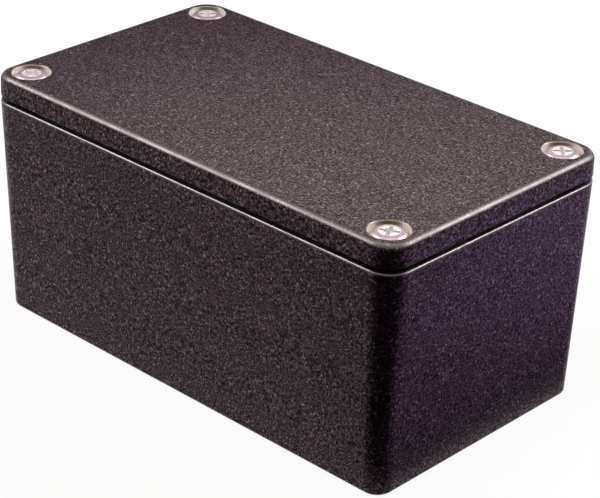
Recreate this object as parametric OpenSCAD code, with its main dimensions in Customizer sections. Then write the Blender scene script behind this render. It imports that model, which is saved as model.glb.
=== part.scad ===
// Sealed die-cast enclosure: a drafted tub, a lid held by four sunk screws, and a moulded gasket
// between a tongue on the tub and a groove in the lid. Millimetres, +Z up, origin under the middle.

/* [Overall] */
// Length along X, at the rim
length = 115; // [100:1:160]
// Width along Y, at the rim
width = 65; // [58:1:110]
// Height of the tub, from its base to the rim
tub_h = 50; // [35:0.5:60]
// Height of the lid's side
lid_h = 5.1; // [4.3:0.1:6]
// Slit between the rim of the tub and the lid
slit = 0.9; // [0.5:0.1:1.3]
// Radius of the four upright corners, at the rim
corner_r = 5.5; // [5:0.5:9]
// Radius of the tub's lower edge
base_r = 1; // [0.5:0.1:1.6]
// Radius of the lid's upper edge
lid_edge_r = 1.5; // [0.6:0.1:1.6]
// Radius of the sharp edges on both sides of the slit
slit_edge_r = 0.35; // [0.1:0.05:0.4]

/* [Castings] */
// Thickness of the tub's walls
wall = 2.6; // [2.4:0.1:3]
// Thickness of the tub's floor
floor_t = 2.6; // [2:0.1:4]
// Thickness of the lid's plate
plate_t = 2.2; // [1.8:0.1:2.4]
// Draft of the tub's walls, outside and inside, in degrees
tub_draft = 2; // [1:0.1:2.4]
// Draft of the lid's side, in degrees
lid_draft = 1; // [0.5:0.1:2]

/* [Seal] */
// Width of the ledge that runs round outside the tongue
ledge_w = 1.2; // [1:0.1:1.4]
// Height of the tongue above the rim
tongue_h = 2; // [1.4:0.1:2.2]
// Gap on each side of the tongue and of the locating lip
joint_clear = 0.2; // [0.1:0.05:0.3]
// Gap on each side of the gasket
gasket_clear = 0.3; // [0.25:0.05:0.4]
// Width of the lid's locating lip
lip_w = 1.4; // [1:0.1:1.6]
// How far the locating lip reaches below the lid's side
lip_drop = 1.6; // [1:0.1:2.5]
// Metal between a screw's recess and the groove
groove_web = 1.4; // [1:0.1:1.8]

/* [Screws] */
// Distance of each screw from the two faces of its corner
screw_inset = 6.3; // [5.8:0.1:7.5]
// Diameter of the thread
screw_d = 3.5; // [3:0.1:4]
// Length under the head
screw_l = 12; // [10:0.5:16]
// Diameter of the pan head
head_d = 7.2; // [6:0.1:7.5]
// Height of the pan head
head_h = 2.4; // [2:0.1:2.5]
// How far the top of the head lies below the lid
head_sink = 0.2; // [0.2:0.1:0.6]
// Diameter of the recess round the head
recess_d = 8.4; // [8.2:0.1:9]
// Width of the bevel round the recess's upper edge
recess_edge = 0.2; // [0.1:0.05:0.3]
// Diameter of the clearance hole in the lid
clear_d = 4; // [4:0.1:4.6]
// Gap between the thread and its tapped hole, all round
thread_clear = 0.05; // [0.03:0.01:0.1]
// Depth of the tapped hole past the screw's end
hole_spare = 3; // [1:0.5:6]
// Diameter of the pad that carries the lid round each screw
pad_d = 7.6; // [7:0.1:8]
// Width across the wings of the cross recess
cross_d = 4; // [3.2:0.1:4.4]
// Width of one wing of the cross recess
wing_w = 0.8; // [0.6:0.1:1]
// Depth of the cross recess
cross_depth = 1.5; // [1:0.1:1.8]

/* [Card guides] */
// Distance between neighbouring guides along a long wall
guide_pitch = 14; // [12:1:25]
// Distance of the two guides on a short wall from its middle
end_guide_y = 7.5; // [6:0.5:9]
// Width of a guide's slot
slot_w = 1.8; // [1.6:0.1:2.4]
// Width of each rib beside the slot
rib_w = 1.2; // [1:0.1:1.6]
// How far a rib stands out from the wall at the floor
rib_d = 1.4; // [1:0.1:2.5]
// How far the ribs end below the rim
guide_drop = 4; // [3:0.5:10]

/* [Hidden] */
$fn = 64;
over = 1;                       // how far a cutter runs past the face that it cuts
near_steps = 3;                 // flats that make up the small edge radii
far_steps = 10;                 // flats that make up the large edge radii

half_l = length / 2;
half_w = width / 2;
screw_x = half_l - screw_inset;
screw_y = half_w - screw_inset;

lid_z = tub_h + slit;           // underside of the lid's side
top_z = lid_z + lid_h;
roof_z = top_z - plate_t;       // underside of the lid's plate, which is the roof of the groove
tongue_z = tub_h + tongue_h;
seat_z = top_z - head_sink - head_h;

tongue_in = wall;               // insets from the outline at the rim
groove_out = ledge_w - joint_clear;
groove_in = tongue_in + joint_clear;
lip_in = groove_in + lip_w;

boss_r = recess_d / 2 + groove_web - groove_out;   // bend round a screw at inset 0
cavity_depth = tongue_z - floor_t;
floor_in = tongue_in + cavity_depth * tan(tub_draft);
least_bend_r = 0.6;
bend_r = ceil(10 * (max(floor_in, lip_in) + least_bend_r)) / 10;   // outward bend beside a boss at inset 0
arm_x = screw_x - boss_r;       // where the boss cuts in, at inset 0
arm_y = screw_y - boss_r;

casting = [0.24, 0.21, 0.23];
steel = [0.78, 0.76, 0.78];
rubber = [0.08, 0.08, 0.08];

function arc(x, y, r, from, to, steps) =
    [for (k = [0 : steps]) let (a = from + (to - from) * k / steps) [x + r * cos(a), y + r * sin(a)]];

// One half of a drafted upright section, widest at height 0. The far edge has radius r, the near one
// radius e.
module half_section(half, h, draft, r, e) {
    far_x = half - h * tan(draft) + r * tan(draft) - r / cos(draft);
    near_x = half - e * tan(draft) - e / cos(draft);
    polygon(concat(
        [[0, 0]],
        arc(near_x, e, e, -90, draft, near_steps),
        arc(far_x, h - r, r, draft, 90, far_steps),
        [[0, h]]
    ));
}

module full_section(half, h, draft, r, e) {
    half_section(half, h, draft, r, e);
    mirror([1, 0]) half_section(half, h, draft, r, e);
}

// Rounded block with drafted sides, widest at height 0, rounded along both edges
module drafted_block(h, draft, r, e) {
    flat_l = length - 2 * corner_r;
    flat_w = width - 2 * corner_r;
    rotate([90, 0, 0])
        linear_extrude(flat_w, center = true) full_section(half_l, h, draft, r, e);
    rotate([90, 0, 90])
        linear_extrude(flat_l, center = true) full_section(half_w, h, draft, r, e);
    for (x = [-1, 1], y = [-1, 1])
        translate([x * flat_l / 2, y * flat_w / 2, 0])
            rotate_extrude() half_section(corner_r, h, draft, r, e);
}

// Bar along X whose half width runs from low at height 0 to high at height h
module taper_bar(l, low, high, h) {
    rotate([90, 0, 90])
        linear_extrude(l, center = true)
            polygon([[-low, 0], [low, 0], [high, h], [-high, h]]);
}

// Upright form that follows the seal's path: straight along the walls and bent round the screws.
// At height h it lies inset from the outline of the rim, and below that it narrows with the draft.
module seal_form(inset, h, draft = 0) {
    low = round(1000 * (inset + h * tan(draft))) / 1000;
    taper_bar(2 * (arm_x - bend_r), half_w - low, half_w - inset, h);
    taper_bar(2 * (half_l - bend_r), arm_y - low, arm_y - inset, h);
    rotate(90) {
        taper_bar(2 * (arm_y - bend_r), half_l - low, half_l - inset, h);
        taper_bar(2 * (half_w - bend_r), arm_x - low, arm_x - inset, h);
    }
    // Outward bends on both sides of each screw
    for (x = [0, 1], y = [0, 1])
        mirror([x, 0, 0]) mirror([0, y, 0]) {
            translate([arm_x - bend_r, half_w - bend_r, 0])
                cylinder(h, bend_r - low, bend_r - inset);
            translate([half_l - bend_r, arm_y - bend_r, 0])
                cylinder(h, bend_r - low, bend_r - inset);
        }
    // Inward bends round the screws
    for (x = [-1, 1], y = [-1, 1])
        difference() {
            translate([x * (arm_x - bend_r + screw_x) / 2, y * (arm_y - bend_r + screw_y) / 2, h / 2])
                cube([screw_x - arm_x + bend_r, screw_y - arm_y + bend_r, h], center = true);
            translate([x * screw_x, y * screw_y, 0])
                cylinder(h, boss_r + low, boss_r + inset);
        }
}

module at_screws() {
    for (x = [-1, 1], y = [-1, 1])
        translate([x * screw_x, y * screw_y, 0]) children();
}

// Two ribs with a slot between them, against a drafted wall at +Y. Their faces at y = 0 are upright,
// and their backs follow the middle of the wall.
module card_guide() {
    low_z = floor_t / 2;
    high_z = tub_h - guide_drop;
    low_y = rib_d + wall / 2;
    high_y = low_y + (high_z - floor_t) * tan(tub_draft);
    for (x = [-1, 1])
        translate([x * (slot_w + rib_w) / 2, 0, 0]) rotate([90, 0, 90])
            linear_extrude(rib_w, center = true)
                polygon([[0, low_z], [low_y, low_z], [high_y, high_z], [0, high_z]]);
}

module card_guides() {
    face_x = half_l - floor_in - rib_d;
    face_y = half_w - floor_in - rib_d;
    room = arm_x - bend_r - slot_w / 2 - rib_w;
    side_count = floor(room / guide_pitch);
    for (side = [0, 180])
        rotate(side) {
            for (k = [-side_count : side_count])
                translate([k * guide_pitch, face_y, 0]) card_guide();
            for (y = [-1, 1])
                translate([face_x, y * end_guide_y, 0]) rotate(-90) card_guide();
        }
}

module body() {
    color(casting)
        difference() {
            union() {
                difference() {
                    translate([0, 0, tub_h]) mirror([0, 0, 1])
                        drafted_block(tub_h, tub_draft, base_r, slit_edge_r);
                    translate([0, 0, floor_t]) seal_form(tongue_in, cavity_depth, tub_draft);
                }
                // Tongue
                difference() {
                    translate([0, 0, tub_h - over]) seal_form(ledge_w, tongue_h + over);
                    translate([0, 0, tub_h - 2 * over]) seal_form(tongue_in, tongue_h + 3 * over);
                }
                card_guides();
                at_screws() translate([0, 0, tub_h - over]) cylinder(slit + over, d = pad_d);
            }
            at_screws() {
                hole_z = seat_z - screw_l - hole_spare;
                translate([0, 0, hole_z]) cylinder(lid_z - hole_z + over, d = screw_d + 2 * thread_clear);
            }
        }
}

module lid() {
    color(casting)
        difference() {
            union() {
                difference() {
                    translate([0, 0, lid_z]) drafted_block(lid_h, lid_draft, lid_edge_r, slit_edge_r);
                    translate([0, 0, lid_z - over]) seal_form(groove_out, roof_z - lid_z + over);
                }
                // Locating lip
                difference() {
                    translate([0, 0, lid_z - lip_drop])
                        seal_form(groove_in, roof_z - lid_z + lip_drop + over);
                    translate([0, 0, lid_z - lip_drop - over])
                        seal_form(lip_in, roof_z - lid_z + lip_drop + over);
                }
            }
            at_screws() {
                translate([0, 0, lid_z - over]) cylinder(lid_h + 2 * over, d = clear_d);
                translate([0, 0, seat_z]) cylinder(top_z - seat_z + over, d = recess_d);
                translate([0, 0, top_z - recess_edge])
                    cylinder(recess_edge + over, recess_d / 2, recess_d / 2 + recess_edge + over);
            }
        }
}

module gasket() {
    thick = roof_z - tongue_z;
    color(rubber)
        translate([0, 0, tongue_z])
            difference() {
                seal_form(groove_out + gasket_clear, thick);
                translate([0, 0, -over]) seal_form(groove_in - gasket_clear, thick + 2 * over);
            }
}

module lid_screw(x, y) {
    edge_r = head_h / 2;
    tip = screw_d / 6;
    color(steel)
        translate([x * screw_x, y * screw_y, seat_z])
            difference() {
                union() {
                    rotate_extrude() {
                        square([head_d / 2 - edge_r, head_h]);
                        square([head_d / 2, head_h - edge_r]);
                        intersection() {
                            translate([head_d / 2 - edge_r, head_h - edge_r]) circle(edge_r);
                            square([head_d, head_h]);
                        }
                    }
                    translate([0, 0, tip - screw_l]) cylinder(screw_l - tip + over, d = screw_d);
                    translate([0, 0, -screw_l]) cylinder(tip, d1 = screw_d - 2 * tip, d2 = screw_d);
                }
                translate([0, 0, head_h]) cross_recess();
            }
}

// Cross recess with four wings, cut down from height 0
module cross_recess() {
    for (turn = [0, 90])
        rotate(turn)
            translate([0, 0, over - cross_depth]) rotate([90, 0, 0])
                linear_extrude(wing_w, center = true)
                    polygon([
                        [-cross_d / 4, -over], [cross_d / 4, -over],
                        [cross_d / 2, cross_depth - over], [cross_d / 2, cross_depth],
                        [-cross_d / 2, cross_depth], [-cross_d / 2, cross_depth - over]
                    ]);
    translate([0, 0, -cross_depth]) cylinder(cross_depth + over, d1 = wing_w, d2 = 2.4 * wing_w);
}

body();
lid();
gasket();
lid_screw(-1, -1);  // lid_screw_front_left
lid_screw(1, -1);  // lid_screw_front_right
lid_screw(-1, 1);  // lid_screw_back_left
lid_screw(1, 1);  // lid_screw_back_right
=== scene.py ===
"""Looks of the sealed die-cast enclosure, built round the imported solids. Metres, in the row's frame."""

import math

import bpy
from mathutils import Matrix, Vector

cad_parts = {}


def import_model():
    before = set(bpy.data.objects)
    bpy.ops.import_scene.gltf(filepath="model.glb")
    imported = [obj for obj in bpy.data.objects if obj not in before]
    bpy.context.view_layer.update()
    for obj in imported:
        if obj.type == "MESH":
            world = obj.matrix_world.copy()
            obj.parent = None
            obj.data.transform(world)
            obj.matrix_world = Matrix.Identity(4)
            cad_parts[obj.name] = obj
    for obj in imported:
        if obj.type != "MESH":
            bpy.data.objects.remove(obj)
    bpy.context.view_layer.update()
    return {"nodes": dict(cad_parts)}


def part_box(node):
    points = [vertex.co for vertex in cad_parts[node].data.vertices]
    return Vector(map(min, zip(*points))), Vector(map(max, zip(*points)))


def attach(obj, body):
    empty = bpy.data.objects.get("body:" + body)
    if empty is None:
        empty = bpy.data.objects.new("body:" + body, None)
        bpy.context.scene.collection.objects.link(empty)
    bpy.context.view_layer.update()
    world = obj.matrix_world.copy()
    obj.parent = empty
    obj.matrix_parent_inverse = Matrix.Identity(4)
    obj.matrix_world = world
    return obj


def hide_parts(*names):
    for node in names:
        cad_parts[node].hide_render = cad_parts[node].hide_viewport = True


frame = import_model()

MM = 0.001

# Places read from the solids
TOP_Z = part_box("lid")[1].z
SCREW_LOW, SCREW_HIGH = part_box("lid_screw_front_right")
SCREW_X = (SCREW_LOW.x + SCREW_HIGH.x) / 2
SCREW_Y = -(SCREW_LOW.y + SCREW_HIGH.y) / 2

# Sizes that the part's source has too
RIM_Z = 50 * MM                    # joint plane, the tub's rim
SLIT = 0.9 * MM                    # open joint between the tub and the lid
RECESS_R = 4.4 * MM                # recess round a screw, across its bevel
HEAD_R = 3.6 * MM
HEAD_H = 2.4 * MM
SHANK_L = 12 * MM
SEAT_Z = SCREW_HIGH.z - HEAD_H     # underside of the heads

# Looks
GRAIN_SCALE = 2200                 # grains of the coat in a metre
DOT_SCALE = 2500                   # single bright dots in a metre
CLOUD_SCALE = 240                  # wide changes of the coat's gloss
# The light middle of a screw head is part of a painted reflection
BRIGHT_R = 1.95 * MM               # bright middle of a screw head
SCREW_TURNS = {"front_left": 12, "front_right": 27, "back_left": 50, "back_right": 43}
NEAR_AZIMUTH = math.radians(43)    # the near corner of the photo, from -Y towards +X

# Making of the screws
PITCH = 0.6 * MM                   # of the thread
PITCH_RINGS = 6                    # rings of points in one pitch
OVER = 0.5 * MM                    # how far a cutter stands over the crown


# Node helpers
class Tree:
    """A material's nodes, with short calls that make and join them."""

    def __init__(self, tree):
        self.tree = tree
        tree.nodes.clear()

    def add(self, kind, inputs=None, **settings):
        node = self.tree.nodes.new(kind)
        for name, value in settings.items():
            setattr(node, name, value)
        for name, value in (inputs or {}).items():
            socket = node.inputs[name]
            if isinstance(value, bpy.types.NodeSocket):
                self.tree.links.new(value, socket)
            else:
                socket.default_value = value
        return node

    def math(self, operation, a, b=0.0, c=0.0):
        node = self.tree.nodes.new("ShaderNodeMath")
        node.operation = operation
        for k, value in enumerate((a, b, c)):
            if isinstance(value, bpy.types.NodeSocket):
                self.tree.links.new(value, node.inputs[k])
            else:
                node.inputs[k].default_value = value
        return node.outputs[0]

    def ramp(self, value, low, high, low_to=0.0, high_to=1.0, smooth=True):
        node = self.add("ShaderNodeMapRange", interpolation_type="SMOOTHSTEP" if smooth else "LINEAR")
        self.tree.links.new(value, node.inputs["Value"])
        node.inputs["From Min"].default_value = low
        node.inputs["From Max"].default_value = high
        node.inputs["To Min"].default_value = low_to
        node.inputs["To Max"].default_value = high_to
        return node.outputs["Result"]

    def band(self, value, low, full, full_end, high):
        """1 from full to full_end, falling to 0 at low and at high."""
        return self.math("MULTIPLY", self.ramp(value, low, full), self.ramp(value, full_end, high, 1.0, 0.0))

    def mix(self, factor, a, b):
        node = self.tree.nodes.new("ShaderNodeMix")
        node.data_type = "RGBA"
        for k, value in ((0, factor), (6, a), (7, b)):
            if isinstance(value, bpy.types.NodeSocket):
                self.tree.links.new(value, node.inputs[k])
            else:
                node.inputs[k].default_value = value
        return node.outputs[2]

    def noise(self, where, scale, detail=2.0, roughness=0.5):
        values = {"Vector": where, "Scale": scale, "Detail": detail, "Roughness": roughness}
        return self.add("ShaderNodeTexNoise", values).outputs["Fac"]

    def cells(self, where, scale):
        return self.add("ShaderNodeTexVoronoi", {"Vector": where, "Scale": scale}).outputs["Color"]

    def split(self, vector):
        return self.add("ShaderNodeSeparateXYZ", {"Vector": vector}).outputs

    def bump(self, height, strength, distance):
        values = {"Height": height, "Strength": strength, "Distance": distance}
        return self.add("ShaderNodeBump", values).outputs["Normal"]

    def seen(self):
        """1 where the picture, a reflection or glass looks at a surface, and 0 where it only gives light."""
        path = self.add("ShaderNodeLightPath").outputs
        mirrored = self.math("MAXIMUM", path["Is Glossy Ray"], path["Is Transmission Ray"])
        return self.math("MAXIMUM", path["Is Camera Ray"], mirrored)


def material(name):
    m = bpy.data.materials.new(name)
    m.use_nodes = True
    return m, Tree(m.node_tree)


# Materials
def screw_distance(t, x, y):
    """Distance of a point from the nearest screw's axis, in metres."""
    dx = t.math("SUBTRACT", t.math("ABSOLUTE", x), SCREW_X)
    dy = t.math("SUBTRACT", t.math("ABSOLUTE", y), SCREW_Y)
    return t.math("SQRT", t.math("ADD", t.math("MULTIPLY", dx, dx), t.math("MULTIPLY", dy, dy)))


def recess_metal(t, where, facing):
    """Bare turned metal. The wall that faces the near corner gets a painted reflection: its colour turns
    dark brown there, standing for the dark side of the room mirrored in it.
    """
    marks = t.noise(where, 5200, 2.0, 0.6)
    tone = t.mix(marks, (0.56, 0.48, 0.42, 1), (0.98, 0.92, 0.86, 1))
    painted_reflection_facing = t.math("SUBTRACT", t.math("MULTIPLY", facing["X"], math.sin(NEAR_AZIMUTH)),
                     t.math("MULTIPLY", facing["Y"], math.cos(NEAR_AZIMUTH)))
    # Painted reflection: dark brown on the walls that face the near corner
    tone = t.mix(t.ramp(painted_reflection_facing, 0.72, 0.97), tone, (0.26, 0.2, 0.13, 1))
    return t.add("ShaderNodeBsdfPrincipled", {
        "Base Color": tone, "Metallic": 0.0, "Specular IOR Level": 0.2, "Roughness": 0.45,
        "Normal": t.bump(marks, 0.6, 0.02 * MM),
    })


def powder_coat():
    """Black textured powder coat, with painted shade inside the joint's slit; the recesses round the screws
    are spot-faced to bare metal.
    """
    m, t = material("powder_coat")
    coords = t.add("ShaderNodeTexCoord").outputs
    where = coords["Object"]
    x, y, z = t.split(where)
    facing = t.split(coords["Normal"])

    # Grain, single dots and wide clouds
    grain = t.noise(where, GRAIN_SCALE, 2.0, 0.6)
    dots = t.add("ShaderNodeSeparateColor", {"Color": t.cells(where, DOT_SCALE)}).outputs
    peak = t.math("POWER", t.ramp(grain, 0.3, 0.8, smooth=False), 2.2)
    peak = t.math("MULTIPLY", peak, t.ramp(dots["Green"], 0, 1, 0.55, 1.6))
    fleck = t.math("MULTIPLY", t.ramp(dots["Red"], 0.84, 0.98), t.ramp(grain, 0.4, 0.6))
    cloud = t.noise(where, CLOUD_SCALE, 2.0, 0.5)

    # The coat draws thin and smooth over the rim's sharp edge and over the lid's rounded one
    rim = t.band(z, RIM_Z - 0.6 * MM, RIM_Z - 0.35 * MM, RIM_Z + 0.1 * MM, RIM_Z + 0.2 * MM)
    bend = t.band(facing["Z"], 0.36, 0.64, 0.95, 0.995)
    bend = t.math("MULTIPLY", bend, t.ramp(z, RIM_Z + 2 * MM, RIM_Z + 2.1 * MM))
    edge = t.math("MAXIMUM", rim, bend)
    # Painted shade in the joint: inside the slit the coat is made nearly black and loses its gloss
    slit_end = RIM_Z + SLIT
    slit_shade = t.band(z, RIM_Z + 0.02 * MM, RIM_Z + 0.08 * MM, slit_end + 0.1 * MM, slit_end + 0.3 * MM)

    tone = t.mix(peak, (0.006, 0.0015, 0.004, 1), (0.042, 0.021, 0.038, 1))
    tone = t.mix(t.math("MULTIPLY", fleck, 0.8), tone, (0.2, 0.178, 0.195, 1))
    # Painted shade: nearly black inside the slit
    tone = t.mix(slit_shade, tone, (0.002, 0.002, 0.002, 1))
    level = t.ramp(peak, 0, 0.85, 0.017, 1.0, smooth=False)
    level = t.math("MAXIMUM", level, t.math("MAXIMUM", rim, t.math("MULTIPLY", bend, 0.95)))
    # Painted shade: the slit loses its gloss
    level = t.math("MULTIPLY", level, t.ramp(slit_shade, 0, 1, 1.0, 0.05))
    coat = t.add("ShaderNodeBsdfPrincipled", {
        "Base Color": tone, "Specular IOR Level": level,
        "Roughness": t.math("ADD", t.ramp(cloud, 0.3, 0.7, 0.32, 0.4), t.math("MULTIPLY", bend, 0.06)),
        "Specular Tint": t.mix(edge, (1.0, 0.56, 0.66, 1), (1.0, 0.95, 0.9, 1)),
        "Normal": t.bump(grain, t.ramp(edge, 0, 1, 1.0, 0.4), 0.05 * MM),
    })

    distance = screw_distance(t, x, y)
    bare = t.math("MULTIPLY", t.ramp(distance, RECESS_R - 0.02 * MM, RECESS_R + 0.06 * MM, 1.0, 0.0),
                  t.band(z, SEAT_Z - 0.6 * MM, SEAT_Z - 0.5 * MM, TOP_Z - 0.2 * MM, TOP_Z - 0.12 * MM))
    metal = recess_metal(t, where, facing)
    both = t.add("ShaderNodeMixShader", {0: bare, 1: coat.outputs[0], 2: metal.outputs[0]})
    t.add("ShaderNodeOutputMaterial", {"Surface": both.outputs[0]})
    return m


def steel():
    """Screw steel, painted by radius and height. The head's light middle and its darker mauve, rougher edge
    are a painted reflection of what the flat crown and the rounded edge mirror. Below 1.4 mm, the floor of
    the cross recess is painted light to offset its shade.
    """
    m, t = material("screw_steel")
    where = t.add("ShaderNodeTexCoord").outputs["Object"]
    x, y, z = t.split(where)
    radius = t.math("SQRT", t.math("ADD", t.math("MULTIPLY", x, x), t.math("MULTIPLY", y, y)))
    edge_ring = t.ramp(radius, BRIGHT_R, BRIGHT_R + 0.3 * MM)
    marks = t.noise(where, 4200, 3.0, 0.6)
    bright = t.mix(marks, (0.5, 0.48, 0.5, 1), (0.78, 0.76, 0.78, 1))
    # Painted reflection: the head's rounded edge is toned dark mauve
    painted_edge_reflection = t.mix(marks, (0.26, 0.2, 0.25, 1), (0.38, 0.31, 0.36, 1))
    # Painted light: below 1.4 mm, on the floor of the cross recess and under it, the tone is light and even,
    # to offset the recess's shade
    painted_light_depth = t.ramp(z, 1.4 * MM, 2.2 * MM)
    shade = t.add("ShaderNodeBsdfPrincipled", {
        "Base Color": t.mix(painted_light_depth, (0.78, 0.76, 0.78, 1), t.mix(edge_ring, bright, painted_edge_reflection)),
        "Metallic": t.ramp(edge_ring, 0, 1, 0.25, 1.0),
        "Roughness": t.ramp(t.math("ADD", marks, edge_ring), 0.3, 1.7, 0.22, 0.46),
        "Normal": t.bump(marks, 0.4, 0.006 * MM),
    })
    t.add("ShaderNodeOutputMaterial", {"Surface": shade.outputs[0]})
    return m


def rubber():
    m, t = material("seal_rubber")
    where = t.add("ShaderNodeTexCoord").outputs["Object"]
    skin = t.noise(where, 2500, 2.0, 0.5)
    shade = t.add("ShaderNodeBsdfPrincipled", {
        "Base Color": t.mix(skin, (0.012, 0.012, 0.012, 1), (0.03, 0.03, 0.03, 1)),
        "Roughness": 0.75, "Normal": t.bump(skin, 0.4, 0.02 * MM),
    })
    t.add("ShaderNodeOutputMaterial", {"Surface": shade.outputs[0]})
    return m


# Dressing the solids
def dress(node, mat):
    """Gives a CAD node its material; its mesh stays as it is."""
    slots = frame["nodes"][node].data.materials
    slots.clear()
    slots.append(mat)


# Screws
def shank_outline():
    """(z, core radius, ridge height) of the threaded shank, from its tip up to the seat at height 0."""
    thread_r = 1.75 * MM
    core_r = 1.42 * MM
    last = round(PITCH_RINGS * SHANK_L / PITCH)
    outline = []
    for k in range(last):
        grow = min(1.0, k / 9)                       # the thread grows in over the tip
        fade = min(1.0, (last - k) / PITCH_RINGS)    # and ends below the head
        z = -SHANK_L + k * PITCH / PITCH_RINGS
        outline.append((z, core_r - (1 - grow) * 0.5 * MM, (thread_r - core_r) * grow * fade))
    outline.append((0, core_r, 0))
    return outline


def head_outline():
    """(z, radius, 0) of the pan head, from its seat up to a nearly flat crown."""
    crown_r = 2.4 * MM
    edge_r = HEAD_R - crown_r
    arc_steps = 10
    outline = [(0, HEAD_R - 0.15 * MM, 0), (0.15 * MM, HEAD_R, 0)]
    for k in range(arc_steps + 1):
        a = math.pi / 2 * k / arc_steps
        outline.append((HEAD_H - edge_r + edge_r * math.sin(a) * 0.97, crown_r + edge_r * math.cos(a), 0))
    for share in (0.75, 0.5, 0.25):
        outline.append((HEAD_H - 0.036 * MM * share ** 2, crown_r * share, 0))
    return outline


def screw_rings(steps):
    """Rings of the screw from its tip up to the head's crown, each a list of (x, y, z)."""
    rings = []
    for z, r, ridge in shank_outline() + head_outline():
        ring = []
        for j in range(steps):
            phase = (z / PITCH - j / steps) % 1
            flank = min(1.0, max(0.0, 1.25 - abs(2 * phase - 1) * 1.5))
            ring.append(on_circle(r + ridge * flank, j / steps, z))
        rings.append(ring)
    return rings


def on_circle(r, turn, z):
    return (r * math.cos(2 * math.pi * turn), r * math.sin(2 * math.pi * turn), z)


def closed_mesh(name, rings):
    """Closed mesh over rings of equal length, with a point at each end."""
    steps = len(rings[0])
    verts = [(0, 0, rings[0][0][2])] + [v for ring in rings for v in ring] + [(0, 0, rings[-1][0][2])]
    top = len(verts) - 1
    last = len(rings) - 1

    def at(i, j):
        return 1 + i * steps + j % steps

    faces = [(0, at(0, j + 1), at(0, j)) for j in range(steps)]
    for i in range(last):
        faces += [(at(i, j), at(i, j + 1), at(i + 1, j + 1), at(i + 1, j)) for j in range(steps)]
    faces += [(at(last, j), at(last, j + 1), top) for j in range(steps)]
    mesh = bpy.data.meshes.new(name)
    mesh.from_pydata(verts, [], faces)
    return mesh


def bar(half_l, low_l, half_w, low_w, depth, turn_deg):
    """Tapered bar across the screw's axis, cut down from the head's crown. The low sizes are at its foot."""
    c = math.cos(math.radians(turn_deg))
    s = math.sin(math.radians(turn_deg))
    levels = [(low_l, low_w, HEAD_H - depth), (half_l, half_w, HEAD_H), (half_l, half_w, HEAD_H + OVER)]
    rings = []
    for reach, side, z in levels:
        ring = [(reach, side), (-reach, side), (-reach, -side), (reach, -side)]
        rings.append([(x * c - y * s, x * s + y * c, z) for x, y in ring])
    return closed_mesh("bar", rings)


def cone(top_r, low_r, depth):
    steps = 16
    rings = []
    for r, z in ((low_r, HEAD_H - depth), (top_r, HEAD_H), (top_r, HEAD_H + OVER)):
        rings.append([on_circle(r, j / steps, z) for j in range(steps)])
    return closed_mesh("cone", rings)


def screw_mesh():
    """Pan-head screw with its thread and a cross recess that has four fine marks between the wings."""
    link = bpy.context.scene.collection.objects.link
    blank = bpy.data.objects.new("screw_blank", closed_mesh("screw", screw_rings(64)))
    link(blank)
    wings = [bar(2.0 * MM, 1.1 * MM, 0.42 * MM, 0.3 * MM, 1.5 * MM, turn) for turn in (0, 90)]
    middle = [cone(0.98 * MM, 0.4 * MM, 1.6 * MM)]
    marks = [bar(1.75 * MM, 1.6 * MM, 0.12 * MM, 0.05 * MM, 0.25 * MM, turn) for turn in (45, 135)]
    cutters = []
    for k, mesh in enumerate(wings + middle + marks):
        cutter = bpy.data.objects.new("cutter", mesh)
        link(cutter)
        cutters.append(cutter)
        cut = blank.modifiers.new("cut%d" % k, "BOOLEAN")
        cut.operation = "DIFFERENCE"
        cut.solver = "EXACT"
        cut.object = cutter
    graph = bpy.context.evaluated_depsgraph_get()
    mesh = bpy.data.meshes.new_from_object(blank.evaluated_get(graph))
    for spare in cutters + [blank]:
        bpy.data.objects.remove(spare)
    mesh.shade_smooth()
    mesh.set_sharp_from_angle(angle=math.radians(32))
    return mesh


def screws(mat):
    mesh = screw_mesh()
    mesh.materials.clear()
    mesh.materials.append(mat)
    for side, turn in SCREW_TURNS.items():
        o = bpy.data.objects.new("screw_" + side, mesh.copy())
        bpy.context.scene.collection.objects.link(o)
        x = SCREW_X if side.endswith("right") else -SCREW_X
        y = SCREW_Y if side.startswith("back") else -SCREW_Y
        o.location = (x, y, SEAT_Z)
        o.rotation_euler = (0, 0, math.radians(turn))
        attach(o, "root")
        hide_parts("lid_screw_" + side)


# Stage, lights, camera
def area_light(name, azimuth, elevation, distance, w, h, power, color, target=(0, 0, 30 * MM)):
    """Lamp that stands away from the target by the distance and shines on it. Azimuth 0 is -Y, 90 is +X."""
    data = bpy.data.lights.new(name, "AREA")
    data.shape = "RECTANGLE"
    data.size = w
    data.size_y = h
    data.energy = power
    data.color = color
    o = bpy.data.objects.new(name, data)
    bpy.context.scene.collection.objects.link(o)
    a, e = math.radians(azimuth), math.radians(elevation)
    away = Vector((math.sin(a) * math.cos(e), -math.cos(a) * math.cos(e), math.sin(e)))
    o.location = Vector(target) + away * distance
    o.rotation_mode = "QUATERNION"
    o.rotation_quaternion = away.to_track_quat("Z", "Y")


def sheet(name, near_w, far_w, d, place, turn_deg=0.0, tilt_deg=0.0):
    """Flat four-sided sheet, d deep. Turned to its azimuth, its near edge points to the object."""
    mesh = bpy.data.meshes.new(name)
    far_edge = [(-far_w / 2, -d / 2, 0), (far_w / 2, -d / 2, 0)]
    near_edge = [(near_w / 2, d / 2, 0), (-near_w / 2, d / 2, 0)]
    mesh.from_pydata(far_edge + near_edge, [], [(0, 1, 2, 3)])
    o = bpy.data.objects.new(name, mesh)
    bpy.context.scene.collection.objects.link(o)
    o.location = place
    o.rotation_euler = (math.radians(tilt_deg), 0, math.radians(turn_deg))
    return o


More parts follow.
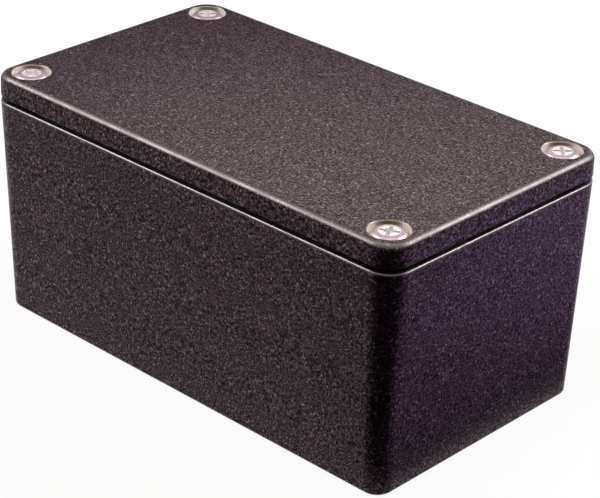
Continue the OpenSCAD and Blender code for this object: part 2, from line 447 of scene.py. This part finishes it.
def floor():
    """Pale sheet that reads as white where the picture, metal or glass looks at it, and keeps the shadow."""
    o = sheet("floor", 6, 6, 6, (0, 0, 0))
    m, t = material("floor")
    paper = t.noise(t.add("ShaderNodeTexCoord").outputs["Object"], 40, 2.0, 0.5)
    tone = t.mix(paper, (0.78, 0.78, 0.78, 1), (0.82, 0.82, 0.82, 1))
    matt = t.add("ShaderNodeBsdfDiffuse", {"Color": tone})
    white = t.add("ShaderNodeEmission", {"Color": (1, 1, 1, 1), "Strength": 1.0})
    share = t.math("MULTIPLY", t.seen(), 0.9)
    mixed = t.add("ShaderNodeMixShader", {0: share, 1: matt.outputs[0], 2: white.outputs[0]})
    t.add("ShaderNodeOutputMaterial", {"Surface": mixed.outputs[0]})
    o.data.materials.append(m)


def card(name, near_w, far_w, d, away, azimuth, z, tone, near_tone=1.0, tilt_deg=0.0):
    """Matt card that reflections see and the camera doesn't. Its near edge lies away from the middle by the
    distance given, and its first 30 mm fade from near_tone to the full tone, a painted shade by the object."""
    m, t = material(name)
    where = t.add("ShaderNodeTexCoord").outputs["Object"]
    felt = t.noise(where, 300, 2.0, 0.5)
    near, low, high = [tuple(share * c for c in tone) + (1,) for share in (near_tone, 0.9, 1.1)]
    # Painted shade: the card darkens towards its near edge, by the object
    fade = t.ramp(t.split(where)["Y"], d / 2 - 30 * MM, d / 2)
    shade = t.add("ShaderNodeBsdfDiffuse", {"Color": t.mix(fade, t.mix(felt, low, high), near)})
    t.add("ShaderNodeOutputMaterial", {"Surface": shade.outputs[0]})
    a = math.radians(azimuth)
    out = away + d / 2 * math.cos(math.radians(tilt_deg))
    o = sheet(name, near_w, far_w, d, (math.sin(a) * out, -math.cos(a) * out, z), azimuth, tilt_deg)
    o.visible_camera = False
    o.visible_shadow = False
    o.data.materials.append(m)


def world():
    """White where it is seen, and nearly dark as a light, so that the lamps shape the object."""
    w = bpy.data.worlds.new("studio")
    bpy.context.scene.world = w
    w.use_nodes = True
    t = Tree(w.node_tree)
    strength = t.ramp(t.seen(), 0, 1, 0.03, 1.0, smooth=False)
    back = t.add("ShaderNodeBackground", {"Color": (1, 1, 1, 1), "Strength": strength})
    t.add("ShaderNodeOutputWorld", {"Surface": back.outputs[0]})


def camera():
    """Camera fitted to the outline, the joint line and the screws of the photograph."""
    az, el, roll = 0.74721814, 0.47368005, 0.03309985                            # radians
    distance, shift_right, shift_up = 461.05458 * MM, 2.472046 * MM, -23.556298 * MM
    focal_px, photo_px, sensor_mm = 2209.28933, 600, 36
    away = Vector((math.sin(az) * math.cos(el), -math.cos(az) * math.cos(el), math.sin(el)))
    level_right = Vector((math.cos(az), math.sin(az), 0))
    level_up = level_right.cross(-away)
    right = math.cos(roll) * level_right + math.sin(roll) * level_up
    up = -math.sin(roll) * level_right + math.cos(roll) * level_up
    data = bpy.data.cameras.new("camera")
    data.sensor_fit = "HORIZONTAL"
    data.sensor_width = sensor_mm
    data.lens = focal_px / photo_px * sensor_mm
    data.clip_start = 0.01
    data.clip_end = 20
    o = bpy.data.objects.new("camera", data)
    bpy.context.scene.collection.objects.link(o)
    place = away * distance + right * shift_right + up * shift_up + Vector((0, 0, RIM_Z))
    turn = Matrix((right, up, away)).transposed().to_4x4()
    o.matrix_world = Matrix.Translation(place) @ turn
    bpy.context.scene.camera = o


coat_material = powder_coat()
dress("body", coat_material)
dress("lid", coat_material)
dress("gasket", rubber())
screws(steel())

floor()
# Dark room in the near corner, violet at the short side, grey behind
card("card_corner", near_w=0.014, far_w=1.9, d=0.45, away=61 * MM, azimuth=46, z=0.6 * MM,
     tone=(0.005, 0.005, 0.005))
# Its near_tone gives painted shade along the edge by the object
card("card_right", near_w=0.3, far_w=0.3, d=0.15, away=58 * MM, azimuth=90, z=0.3 * MM,
     tone=(0.66, 0.54, 0.96), near_tone=0.28)
card("card_back", near_w=0.3, far_w=0.3, d=0.11, away=120 * MM, azimuth=223, z=56 * MM,
     tone=(0.66, 0.61, 0.73), tilt_deg=90)
world()
# The two keys stand where the lid's rounded edges mirror them into the picture
area_light("key_left", azimuth=-56, elevation=40, distance=0.75, w=0.3, h=0.24, power=4.5,
           color=(1.0, 0.96, 0.92))
area_light("key_right", azimuth=147, elevation=37, distance=0.75, w=0.3, h=0.24, power=5.5,
           color=(1.0, 0.96, 0.95))
area_light("front_top", azimuth=43, elevation=82, distance=0.75, w=0.18, h=0.12, power=1.6,
           color=(1.0, 0.88, 0.72))
area_light("back", azimuth=222, elevation=26, distance=0.26, w=0.18, h=0.14, power=0.13,
           color=(1.0, 0.95, 0.74), target=(32 * MM, 0, 56 * MM))
camera()
bpy.context.scene.view_settings.view_transform = "Standard"
